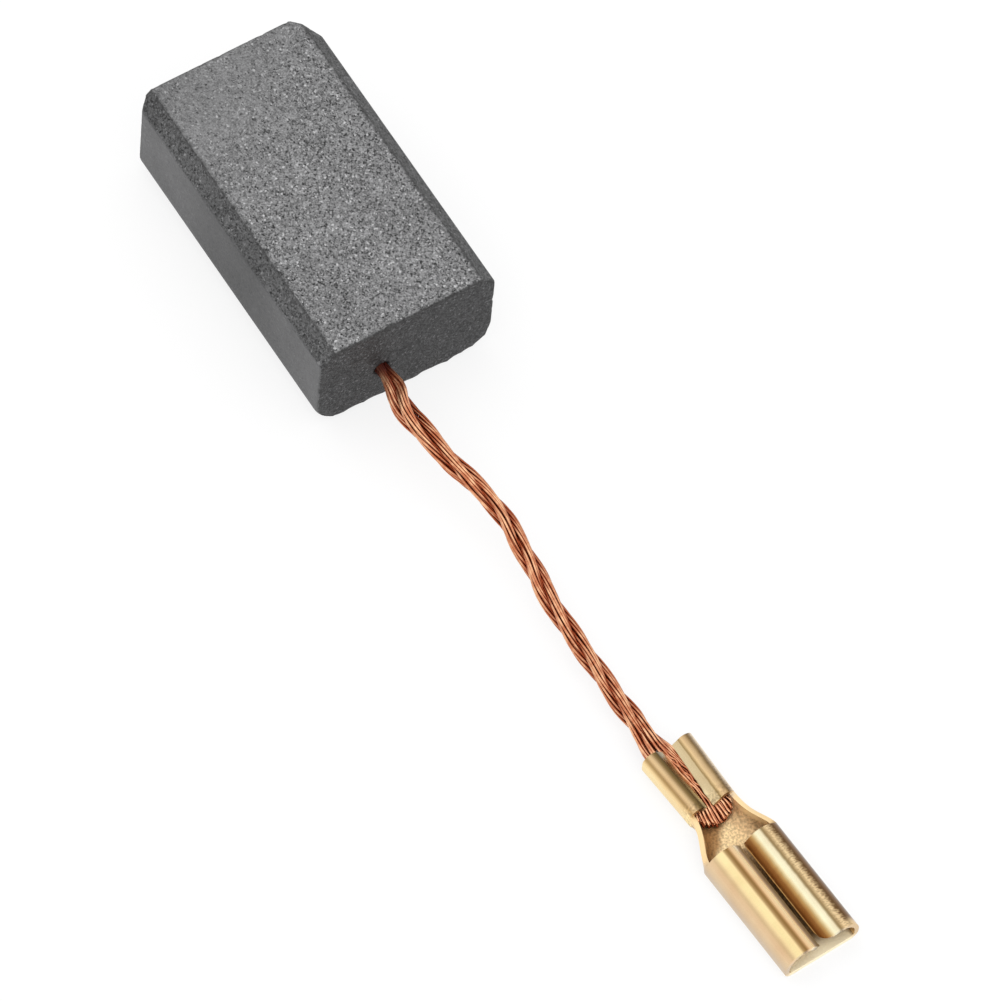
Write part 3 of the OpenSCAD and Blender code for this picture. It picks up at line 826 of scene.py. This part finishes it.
def copperMaterial():
    material, tree, shader = newMaterial("bareCopper")
    place = addNode(tree, "ShaderNodeTexCoord").outputs["Object"]
    # strands differ in tint, and each has darker patches along it
    patches = addMap(tree, addNoise(tree, place, 2600, 3), 0.35, 0.65, -0.25, 0.75)
    tint = addMath(tree, "MULTIPLY", readValue(tree, "strandTint"), 0.5)
    colour = addMix(tree, addMath(tree, "ADD", tint, patches, True), (*copper["light"], 1),
                    (*copper["dark"], 1))
    # painted shade: strands deep in the rope or under the heap's top row darken towards the inner colour
    depth = addMap(tree, readValue(tree, "strandDepthShade"), 0.1, 0.9)
    colour = addMix(tree, depth, colour, (*copper["inner"], 1))
    # painted shade: each strand darkens on its flanks, towards its neighbours, and keeps its own colour on
    # its outer side
    ridge = addMap(tree, readValue(tree, "strandFlankShade"), 0.8, 0.1)
    colour = addMix(tree, ridge, colour, (*copper["inner"], 1))
    # painted shade: the strands darken towards the inner colour on their right-facing sides
    normal = addNode(tree, "ShaderNodeTexCoord").outputs["Normal"]
    across = addNode(tree, "ShaderNodeSeparateXYZ", {0: normal}).outputs[1]
    colour = addMix(tree, addMap(tree, across, 0.1, 0.8, 0, 0.55), colour, (*copper["inner"], 1))
    # the strands are painted near black where they leave the block, a painted shadow, and duller beside
    # it, so that they stay light there
    along = addNode(tree, "ShaderNodeSeparateXYZ", {0: place}).outputs[0]
    exitAt = blockLength / 2
    rootShadow = addMap(tree, along, (exitAt + 0.15) * mm, (exitAt + copper["rootShadowEnds"]) * mm, 0.9, 0)
    colour = addMix(tree, rootShadow, colour, (*copper["root"], 1))
    tree.links.new(colour, shader.inputs["Base Color"])
    dull = addMap(tree, along, exitAt * mm, (exitAt + 3) * mm, 0.3, 0.9)
    tree.links.new(dull, shader.inputs["Metallic"])
    shader.inputs["Roughness"].default_value = copper["roughness"]
    scratches = addNoise(tree, place, 14000)
    tree.links.new(addBump(tree, scratches, 0.25, 0.02 * mm), shader.inputs["Normal"])
    return material


brass = {
    # paintedShade is the dark colour of the painted shade on the right side and the neck
    "face": (0.92, 0.69, 0.38), "worn": (0.87, 0.62, 0.33), "paintedShade": (0.2, 0.135, 0.08),
    # mouthLit is the colour of the painted highlight on the mouth's floor
    "mouthLit": (1.0, 0.87, 0.6),
    "rollLines": (300, 9000, 9000), "strokes": (23000, 5000, 5000),  # per metre along and across
}


def brassMaterial():
    material, tree, shader = newMaterial("rolledBrass")
    place = addNode(tree, "ShaderNodeTexCoord").outputs["Object"]
    turned = {"Vector": place, "Rotation": (0, 0, -terminalYaw)}
    alongRoll = addNode(tree, "ShaderNodeMapping", {**turned, "Scale": brass["rollLines"]}).outputs[0]
    lines = addNoise(tree, alongRoll, 1, 3)
    patches = addMap(tree, addNoise(tree, place, 800, 3), 0.35, 0.65)
    colour = addMix(tree, patches, (*brass["face"], 1), (*brass["worn"], 1))
    # the painted reflections and shade multiply the brass colour
    colour = addMix(tree, 1.0, colour, readValue(tree, "paintedLight", "Color"), "MULTIPLY")
    # painted shade on the right side sets in with short strokes across the crest, tool marks of the
    # rolling tool drawn in the shade's dark colour
    across = addNode(tree, "ShaderNodeMapping", {**turned, "Scale": brass["strokes"]}).outputs[0]
    hatch = addNoise(tree, across, 1)
    hatched = readValue(tree, "hatched")
    stroke = addMath(tree, "MULTIPLY", addMath(tree, "SUBTRACT", hatch, 0.5), 2.2)
    stroke = addMath(tree, "MULTIPLY", stroke, hatched)
    paintedShade = addMath(tree, "ADD", readValue(tree, "paintedShade"), stroke, True)
    colour = addMix(tree, paintedShade, colour, addMix(tree, 1.0, colour, (*brass["paintedShade"], 1), "MULTIPLY"))
    # the sheet is a little matt along its floor and in the neck, where it is finely crazed, and at the
    # mouth it is painted palest, a painted highlight
    matt, crazed, mouthLit = (readValue(tree, name) for name in ("matt", "crazed", "mouthHighlight"))
    weave = addNoise(tree, place, 10000)
    grain = addMap(tree, weave, 0.35, 0.65, 0.7, 1.25)
    colour = addMix(tree, crazed, colour, addMix(tree, 1.0, colour, grain, "MULTIPLY"))
    colour = addMix(tree, mouthLit, colour, (*brass["mouthLit"], 1))
    tree.links.new(colour, shader.inputs["Base Color"])
    metal = addMath(tree, "SUBTRACT", addMap(tree, matt, 0, 1, 1.0, 0.6), mouthLit, True)
    tree.links.new(metal, shader.inputs["Metallic"])
    rougher = addMath(tree, "MAXIMUM", matt, addMath(tree, "ADD", crazed, mouthLit, True))
    rough = addMath(tree, "ADD", addMap(tree, lines, 0.3, 0.7, 0.16, 0.28),
                    addMath(tree, "MULTIPLY", rougher, 0.22))
    tree.links.new(rough, shader.inputs["Roughness"])
    ribs = addMix(tree, crazed, hatch, weave)
    force = addMath(tree, "ADD", addMath(tree, "MULTIPLY", hatched, 0.3),
                    addMath(tree, "MULTIPLY", crazed, 0.5), True)
    rolled = addBump(tree, lines, 0.12, 0.01 * mm)
    tree.links.new(addBump(tree, ribs, force, 0.03 * mm, rolled), shader.inputs["Normal"])
    return material


carbonBlock.data.materials.append(carbonMaterial())
copperRope.data.materials.append(copperMaterial())
brassTerminal.data.materials.append(brassMaterial())
print("materials ready")


studio = {
    "floorColour": (0.93, 0.93, 0.93), "floorRoughness": 0.9, "floorGloss": 0.1,
    "floorGlow": 0.78,  # share of plain white that the camera and reflections see in the floor
    "floorHalf": 3,  # metres
    # brightness of the sky by the angle from straight up, from the left horizon to the right one:
    # a wide soft box overhead, a thin gap on the left, and a darker right side
    "sky": [(-90, 0.9), (-68, 0.9), (-60, 0.75), (-50, 0.85), (-38, 1.15), (5, 1.15), (30, 1.0),
            (55, 0.95), (68, 0.9), (80, 0.8), (90, 0.4)],
    "skyTop": 1.4,
    "frontLift": 0.25,  # how much brighter the sky is in front of the terminal's mouth
    "key": 2.0, "keySize": 1.0, "keyFrom": (-0.5, -0.25, 0.8),  # watts and metres
}


def makeFloor():
    mesh = bpy.data.meshes.new("floor")
    half = studio["floorHalf"]
    mesh.from_pydata([(-half, -half, 0), (half, -half, 0), (half, half, 0), (-half, half, 0)], [],
                     [(0, 1, 2, 3)])
    floor = bpy.data.objects.new("floor", mesh)
    bpy.context.scene.collection.objects.link(floor)
    material, tree, shader = newMaterial("paleFloor")
    shader.inputs["Base Color"].default_value = (*studio["floorColour"], 1)
    shader.inputs["Roughness"].default_value = studio["floorRoughness"]
    shader.inputs["Specular IOR Level"].default_value = studio["floorGloss"]
    white = addNode(tree, "ShaderNodeEmission", {"Color": (1, 1, 1, 1), "Strength": 1})
    rays = addNode(tree, "ShaderNodeLightPath").outputs
    seen = addMath(tree, "ADD", addMath(tree, "ADD", rays["Is Camera Ray"], rays["Is Glossy Ray"]),
                   rays["Is Transmission Ray"], True)
    part = addMath(tree, "MULTIPLY", seen, studio["floorGlow"])
    mix = addNode(tree, "ShaderNodeMixShader", {0: part, 1: shader.outputs[0], 2: white.outputs[0]})
    tree.links.new(mix.outputs[0], tree.nodes["Material Output"].inputs["Surface"])
    mesh.materials.append(material)


def makeSky():
    # the sky's brightness is read from its table by the angle from straight up across the part, and
    # rises towards the front
    world = bpy.data.worlds.new("studio")
    bpy.context.scene.world = world
    world.use_nodes = True
    tree = world.node_tree
    sky = tree.nodes["Background"]
    direction = addNode(tree, "ShaderNodeTexCoord").outputs["Generated"]
    axis = addNode(tree, "ShaderNodeSeparateXYZ", {0: direction}).outputs
    angle = addMath(tree, "ARCTAN2", axis[1], axis[2])
    along = addMap(tree, angle, -math.pi / 2, math.pi / 2)
    grey = [((a + 90) / 180, (v / studio["skyTop"],) * 3) for a, v in studio["sky"]]
    level = addRamp(tree, along, grey)
    lifted = studio["skyTop"] * (1 + studio["frontLift"])
    shade = addMap(tree, axis[0], -0.15, 0.5, studio["skyTop"], lifted)
    tree.links.new(addMath(tree, "MULTIPLY", level, shade), sky.inputs["Strength"])
    sky.inputs["Color"].default_value = (1, 1, 1, 1)


def makeLamp():
    light = bpy.data.lights.new("key", "AREA")
    light.size = studio["keySize"]
    light.energy = studio["key"]
    lamp = bpy.data.objects.new("key", light)
    lamp.location = studio["keyFrom"]
    lamp.visible_glossy = False
    lamp.rotation_mode = "QUATERNION"
    lamp.rotation_quaternion = Vector(studio["keyFrom"]).to_track_quat("Z", "Y")
    bpy.context.scene.collection.objects.link(lamp)


makeFloor()
makeSky()
makeLamp()
print("studio ready")
